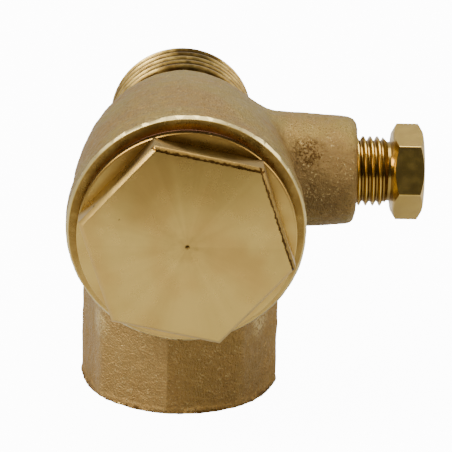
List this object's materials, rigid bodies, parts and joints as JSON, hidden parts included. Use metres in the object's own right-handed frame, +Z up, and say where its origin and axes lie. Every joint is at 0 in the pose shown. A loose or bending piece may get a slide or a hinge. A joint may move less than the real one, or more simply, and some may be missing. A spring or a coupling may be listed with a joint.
{
  "type": "compressor check valve",
  "caption": "Cast brass check valve with a hexagon cap, an octagonal female inlet, a male tank thread and a side boss that holds a tube compression nut.",
  "frame": {"origin": "centre of the inlet socket's end face, which the valve stands on", "axes": "+Z up along the inlet socket, +Y along the tank thread, -Y along the hexagon cap, +X along the unloader boss"},
  "size_m": [0.0507, 0.0547, 0.0489],
  "materials": {
    "cast_brass": "sand cast, matte",
    "turned_brass": "turned, satin",
    "fibre": "pressed fibre sheet",
    "rubber": "matte",
    "steel": "bright"
  },
  "bodies": {
    "body": {"valve_body": "cast_brass"},
    "piston": {"check_piston": "turned_brass", "seal_disc": "rubber", "seal_retaining_washer": "turned_brass", "seal_screw": "steel"},
    "cap_carrier": {"cap_gasket": "fibre", "closing_spring": "steel"},
    "cap": {"hex_cap": "turned_brass"},
    "nut_carrier": {"compression_olive": "turned_brass"},
    "nut": {"unloader_nut": "turned_brass"}
  },
  "joints": [
    {"name": "piston_lift", "type": "slide", "parent": "body", "child": "piston", "axis": [0, -1, 0], "range_m": [0, 0.0035], "stiffness_N_per_m": 900, "springref_m": -0.004, "deforming": ["closing_spring"]},
    {"name": "cap_travel", "type": "slide", "parent": "body", "child": "cap_carrier", "axis": [0, -1, 0], "range_m": [0, 0.0105]},
    {"name": "cap_turn", "type": "hinge", "parent": "cap_carrier", "child": "cap", "pos_m": [0, -0.027, 0.0324], "axis": [0, -1, 0], "range_deg": [0, 2525]},
    {"name": "nut_travel", "type": "slide", "parent": "body", "child": "nut_carrier", "axis": [1, 0, 0], "range_m": [-0.002, 0.008]},
    {"name": "nut_turn", "type": "hinge", "parent": "nut_carrier", "child": "nut", "pos_m": [0.03, 0, 0.0324], "axis": [1, 0, 0], "range_deg": [-725, 2885]}
  ],
  "couplings": [
    {"joint": "cap_turn", "follows": "cap_travel", "rad_per_m": 4188.8},
    {"joint": "nut_turn", "follows": "nut_travel", "rad_per_m": 6283.2}
  ]
}
